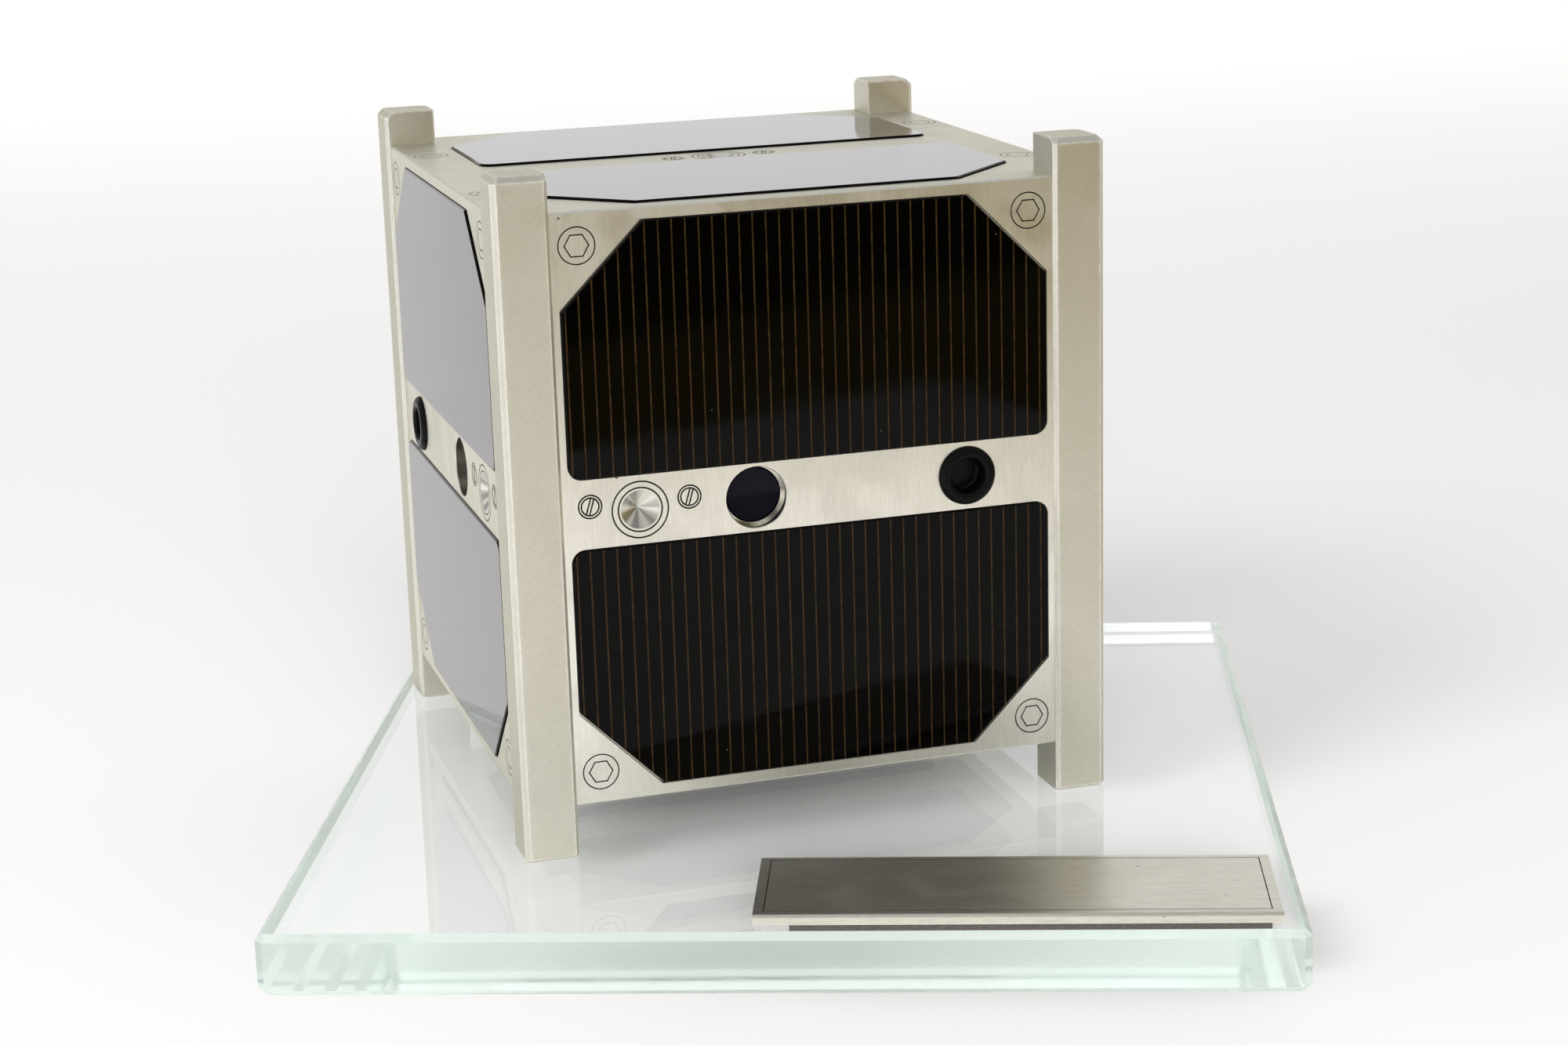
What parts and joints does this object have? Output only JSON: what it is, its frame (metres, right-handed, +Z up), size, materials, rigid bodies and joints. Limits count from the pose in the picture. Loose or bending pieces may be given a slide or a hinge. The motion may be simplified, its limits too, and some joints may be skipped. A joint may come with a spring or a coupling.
{
  "type": "display model of a one-unit cube satellite on a glass base",
  "caption": "Desk model of a cube satellite: aluminium rails and panels with dark solar cells, windows and grommets, standing on a clear glass base with a blank name plate.",
  "frame": {"origin": "middle of the glass base's underside", "axes": "+Z up; +X to the right along the base's front edge, where the name plate is; +Y to the back"},
  "size_m": [0.159, 0.159, 0.12],
  "materials": {
    "base_glass": "polished, pale green at the edges",
    "black_foam_tape": "matt foam",
    "brushed_plate": "brushed along its length",
    "milled_rail": "satin with fine slanted scratches",
    "brushed_panel": "brushed",
    "solar_cell": "high gloss with thin copper-brown lines",
    "dark_window": "polished, dark blue-black",
    "black_rubber": "satin"
  },
  "bodies": {
    "root": {"cell_back_lower": "solar_cell", "cell_back_upper": "solar_cell", "cell_bottom_lower": "solar_cell", "cell_bottom_upper": "solar_cell", "cell_front_lower": "solar_cell", "cell_front_upper": "solar_cell", "cell_left_lower": "solar_cell", "cell_left_upper": "solar_cell", "cell_right_lower": "solar_cell", "cell_right_upper": "solar_cell", "cell_top_lower": "solar_cell", "cell_top_upper": "solar_cell", "glass_base": "base_glass", "grommet_back": "black_rubber", "grommet_front": "black_rubber", "grommet_left": "black_rubber", "grommet_right": "black_rubber", "lens_back": "dark_window", "lens_front": "dark_window", "lens_left": "dark_window", "lens_right": "dark_window", "mounting_tape": "black_foam_tape", "name_plate": "brushed_plate", "panel_back": "brushed_panel", "panel_bottom": "brushed_panel", "panel_front": "brushed_panel", "panel_left": "brushed_panel", "panel_right": "brushed_panel", "panel_top": "brushed_panel", "rail_back_left": "milled_rail", "rail_back_right": "milled_rail", "rail_front_left": "milled_rail", "rail_front_right": "milled_rail"}
  },
  "joints": []
}
